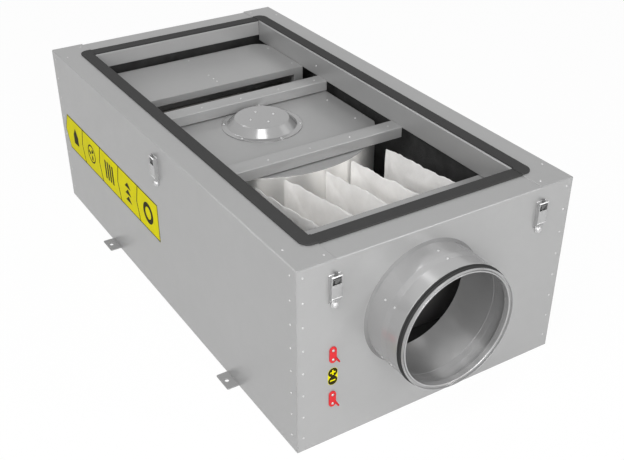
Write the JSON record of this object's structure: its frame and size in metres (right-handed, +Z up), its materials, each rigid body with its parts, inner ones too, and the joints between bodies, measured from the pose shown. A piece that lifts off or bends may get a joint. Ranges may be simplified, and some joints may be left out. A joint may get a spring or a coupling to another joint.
{
  "type": "air handling unit",
  "caption": "Duct air handling unit with its lid off: foam-lined galvanised casing, round spigots with seals, bag filter, fan box on rails, electric heater",
  "frame": {"origin": "centre of the casing's footprint, on the floor plane under the base sheet", "axes": "+X across the casing to the right seen from the inlet end, +Y along the air flow from the inlet spigot to the outlet spigot, +Z up"},
  "size_m": [0.664, 1.36, 0.403],
  "materials": {
    "galvanised_sheet": "satin",
    "gasket_foam": "matt",
    "acoustic_foam": "matt",
    "spigot_steel": "satin",
    "seal_rubber": "matt",
    "element_steel": "satin",
    "filter_fleece": "matt",
    "catch_steel": "satin",
    "red_plastic": "satin"
  },
  "bodies": {
    "root": {"base_panel": "galvanised_sheet", "left_side_panel": "galvanised_sheet", "right_side_panel": "galvanised_sheet", "front_panel": "galvanised_sheet", "back_panel": "galvanised_sheet", "corner_angles": "galvanised_sheet", "lid_gasket": "gasket_foam", "floor_foam": "acoustic_foam", "left_foam": "acoustic_foam", "right_foam": "acoustic_foam", "front_foam": "acoustic_foam", "back_foam": "acoustic_foam", "inlet_collar": "spigot_steel", "outlet_collar": "spigot_steel", "inlet_spigot": "spigot_steel", "outlet_spigot": "spigot_steel", "inlet_seal": "seal_rubber", "outlet_seal": "seal_rubber", "rear_rail": "galvanised_sheet", "front_rail": "galvanised_sheet", "fan_housing": "galvanised_sheet", "fan_cover": "galvanised_sheet", "motor_cover": "spigot_steel", "heater_housing": "galvanised_sheet", "heater_frame": "galvanised_sheet", "heater_rods": "element_steel", "filter_frame": "galvanised_sheet", "filter_fleece_1": "filter_fleece", "filter_fleece_2": "filter_fleece", "filter_fleece_3": "filter_fleece", "filter_fleece_4": "filter_fleece", "filter_fleece_5": "filter_fleece", "catch_plates": "catch_steel", "catch_covers": "catch_steel", "catch_hooks": "catch_steel", "pressure_taps": "red_plastic"}
  },
  "joints": []
}
